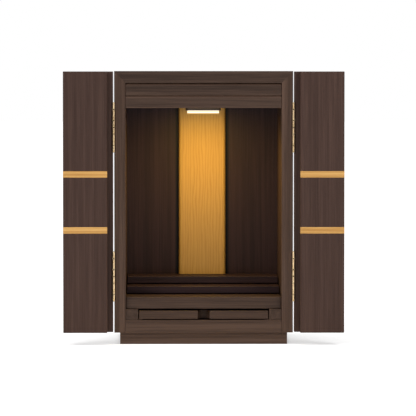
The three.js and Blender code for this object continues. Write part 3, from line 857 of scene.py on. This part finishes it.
# %% [markdown]
# Countersunk screws hold the plates. Of each only the flat head shows, a hair proud of the brass, with a
# straight slot. The head is a short cone that narrows towards its face. Two planes cut a strip out of
# that face, and the strip is pushed in. The slots of a plate point in different directions, each as it
# stood when its screw was tight.

# %% Slotted screw
screw_proud = 0.12 * MM
screw_sunk = 0.3 * MM
head_taper = 0.86  # the head's radius at its face, as a share of its radius at the plate
slot_half = 0.13  # half the slot's width, as a share of the head's radius
slot_depth = 0.6  # as a share of the head's height


def slotted_screw(shape, place, radius, turn):
    """A flat screw head that faces -Y and stands slightly proud, with a slot cut across it."""
    height = screw_proud + screw_sunk
    lay = Matrix.Translation(place) @ Matrix.Rotation(math.radians(90), 4, "X")
    made = bmesh.ops.create_cone(shape, cap_ends=True, segments=20, radius1=radius,
                                 radius2=radius * head_taper, depth=height, matrix=lay)
    top_y = place.y - height / 2
    faces = {f for v in made["verts"] for f in v.link_faces}
    top = min(faces, key=lambda f: f.calc_center_median().y)
    across = Vector((math.cos(turn), 0, math.sin(turn)))
    for step in (-1, 1):
        cut = {f for f in faces if f.is_valid and abs(f.calc_center_median().y - top_y) < touching}
        edges = {e for f in cut for e in f.edges}
        verts = {v for f in cut for v in f.verts}
        done = bmesh.ops.bisect_plane(shape, geom=list(cut | edges | verts), dist=0.1 * touching,
                                      plane_co=place + across * step * radius * slot_half,
                                      plane_no=across)
        faces |= {part for part in done["geom"] if isinstance(part, bmesh.types.BMFace)}
    slot = min((f for f in faces if f.is_valid and abs(f.calc_center_median().y - top_y) < touching),
               key=lambda f: (f.calc_center_median() - place).length)
    sunk_slot = bmesh.ops.extrude_face_region(shape, geom=[slot])
    bottom = [part for part in sunk_slot["geom"] if isinstance(part, bmesh.types.BMVert)]
    bmesh.ops.translate(shape, vec=(0, slot_depth * height, 0), verts=bottom)
    bmesh.ops.delete(shape, geom=[slot], context="FACES_ONLY")


print("screw helper ready")

# %% [markdown]
# A hinge half is drawn once, round a pin at the origin with its plate along X. A matrix then turns it
# into its place: the first column says where the plate reaches, the second on which side of it the wood
# lies. The pins are the joints of the frame, so the places aren't written down a second time here.

# %% Hinge half
pin_of_joint = {joint["name"]: Vector(joint["pos_m"]) for joint in frame["joints"]}
# Sizes in millimetres. The last two are the heights of the screws from the middle and their radius.
side_hinge = dict(radius=2.3, plate=1.2, width=14.7, face_at=1.0, screws=(-31, 0, 31), screw=2.3)
fold_outer = dict(radius=2.0, plate=1.0, width=15.0, face_at=0.2, screws=(-16, 16), screw=2.2)
fold_inner = dict(radius=2.0, plate=1.0, width=15.0, face_at=1.2, screws=(-16, 16), screw=2.2)
notch_gap = 0.3 * MM  # the air between a plate and the barrel of the other half
deep_ring = (1.0 * MM, 0.8 * MM)  # half width and depth of a ring
fine_ring = (0.55 * MM, 0.4 * MM)
ring_places = (0.27, 0.71)  # as shares of the half's length, from the gap
washer_height = 0.9 * barrel_gap
screw_reach = 0.62  # where the screws stand on the plate, as a share of its width


def add_hinge_half(node, pin, reach, wood_side, upper, sizes):
    """A brass half of a hinge round a pin, with its plate towards `reach`."""
    low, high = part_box(node)
    half = (high.z - low.z) / 2
    radius, plate, width, face_at = (sizes[key] * MM for key in ("radius", "plate", "width", "face_at"))
    shape = bmesh.new()
    barrel_low, barrel_high = (barrel_gap / 2, half) if upper else (-half, -barrel_gap / 2)
    ring = deep_ring if upper else fine_ring
    heights = [math.copysign(part * half, barrel_low) for part in ring_places]
    turned_barrel(shape, radius, barrel_low, barrel_high, [(height, *ring) for height in heights],
                  0.0 if upper else washer_height)
    notched_plate(shape, face_at, plate, width, half, radius + notch_gap, upper)
    for i, height in enumerate(sizes["screws"]):
        place = Vector((width * screw_reach, face_at, height * MM))
        slot_angle = 0.5 + 0.9 * i + 10 * half  # in radians, another one for each screw of a plate
        slotted_screw(shape, place, sizes["screw"] * MM, slot_angle)
    turn = Matrix((reach, wood_side, (0, 0, 1))).transposed().to_4x4()
    middle = Vector((pin.x, pin.y, (low.z + high.z) / 2))
    bmesh.ops.transform(shape, matrix=Matrix.Translation(middle) @ turn, verts=shape.verts)
    bmesh.ops.recalc_face_normals(shape, faces=shape.faces)
    finish_piece(shape, brass, node)


print("pins:", sorted(pin_of_joint))

# %% [markdown]
# Two side hinges and two fold hinges hang each door, which makes sixteen halves. The lower half of a side
# hinge is screwed to the case and its upper half to the leaf, so that the leaf can be lifted off. Left
# and right are mirror images, which one sign takes care of.

# %% All hinges
for side, out in zip(sides, (-1, 1)):
    side_pin = pin_of_joint[f"{side}_door_swing"]
    fold_pin = pin_of_joint[f"{side}_leaf_fold"]
    for place in ("lower", "upper"):
        add_hinge_half(f"{side}_hinge_{place}_case_half", side_pin, (0, 1, 0), (-out, 0, 0), False,
                       side_hinge)
        add_hinge_half(f"{side}_hinge_{place}_leaf_half", side_pin, (0, 1, 0), (out, 0, 0), True,
                       side_hinge)
        add_hinge_half(f"{side}_fold_hinge_{place}_outer_half", fold_pin, (-out, 0, 0), (0, 1, 0), False,
                       fold_outer)
        add_hinge_half(f"{side}_fold_hinge_{place}_inner_half", fold_pin, (-out, 0, 0), (0, -1, 0), True,
                       fold_inner)
print("hinge halves:", sum("hinge" in name for name in finished))
